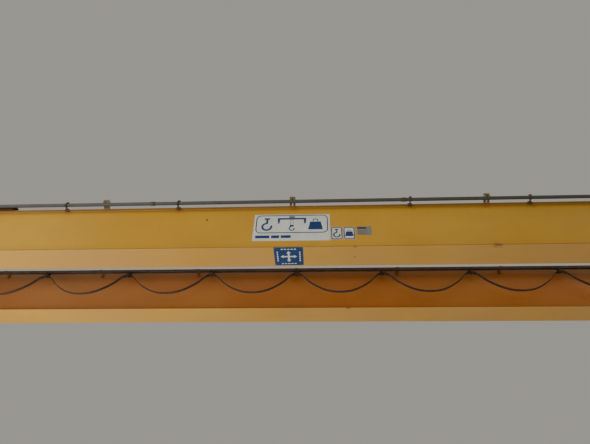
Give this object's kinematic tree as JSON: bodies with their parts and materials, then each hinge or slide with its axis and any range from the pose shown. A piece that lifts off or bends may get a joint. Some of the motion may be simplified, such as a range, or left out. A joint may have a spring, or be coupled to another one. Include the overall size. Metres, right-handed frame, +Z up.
{
  "type": "overhead bridge crane",
  "caption": "Top-running bridge crane with box girders on end carriages, a parked hoist trolley, a festoon cable and sign plates on the front girder.",
  "frame": {"origin": "middle of the bridge in plan, at the lowest point of the runway wheels' flanges", "axes": "+X along the girders, +Y along the runway away from the sign plates, +Z up"},
  "size_m": [14.252, 3, 1.315],
  "materials": {
    "girder_enamel": "semi-gloss golden yellow enamel, a little dusty",
    "carriage_enamel": "semi-gloss golden yellow enamel",
    "rail_steel": "rolled steel, bright on the running face",
    "wheel_steel": "turned steel, polished on the tread",
    "machine_grey": "cast housings in grey machine enamel",
    "buffer_rubber": "moulded black rubber",
    "rusty_steel": "thin old paint over rusting steel",
    "bracket_paint": "dark dusty paint",
    "carrier_steel": "dark zinc-plated and blackened steel",
    "cable_sheath": "flat neoprene cable sheath",
    "box_grey": "light grey powder coat",
    "galvanised_steel": "dull galvanised tube",
    "trunking_brown": "dark brown paint, dusty",
    "sign_white": "white sheet-metal plate with a blue border",
    "sign_blue": "blue plate with white arrows",
    "plate_aluminium": "etched aluminium plate",
    "rope_wire": "greased wire rope",
    "block_enamel": "yellow enamel, chipped at the edges",
    "hook_steel": "forged steel in black paint"
  },
  "bodies": {
    "root": {"front_girder_top_flange": "girder_enamel", "front_girder_bottom_flange": "girder_enamel", "front_girder_outer_web": "girder_enamel", "front_girder_inner_web": "girder_enamel", "rear_girder_top_flange": "girder_enamel", "rear_girder_bottom_flange": "girder_enamel", "rear_girder_inner_web": "girder_enamel", "rear_girder_outer_web": "girder_enamel", "girder_end_plates": "girder_enamel", "girder_seat_plates": "girder_enamel", "trolley_rails": "rail_steel", "trolley_end_stops": "girder_enamel", "left_end_carriage": "carriage_enamel", "right_end_carriage": "carriage_enamel", "drive_wheels": "wheel_steel", "idler_wheels": "wheel_steel", "wheel_bearing_caps": "machine_grey", "left_travel_drive": "machine_grey", "right_travel_drive": "machine_grey", "carriage_buffers": "buffer_rubber", "festoon_rail": "rusty_steel", "festoon_brackets": "bracket_paint", "festoon_carriers": "carrier_steel", "festoon_cable": "cable_sheath", "festoon_feed_box": "box_grey", "cable_conduit": "galvanised_steel", "conduit_stands": "rusty_steel", "conduit_clamps": "carriage_enamel", "cable_trunking": "trunking_brown", "large_sign_plate": "sign_white", "small_sign_plates": "sign_white", "rating_plate": "plate_aluminium", "travel_sign": "sign_blue", "trolley_frame": "carriage_enamel", "trolley_wheels": "wheel_steel", "trolley_drive": "machine_grey", "hoist_drum": "wheel_steel", "drum_bearing": "machine_grey", "hoist_gearbox": "machine_grey", "hoist_motor": "machine_grey", "hoist_ropes": "rope_wire", "hook_block": "block_enamel", "hook": "hook_steel", "festoon_tow_arm": "box_grey", "control_cabinet": "box_grey"}
  },
  "joints": []
}
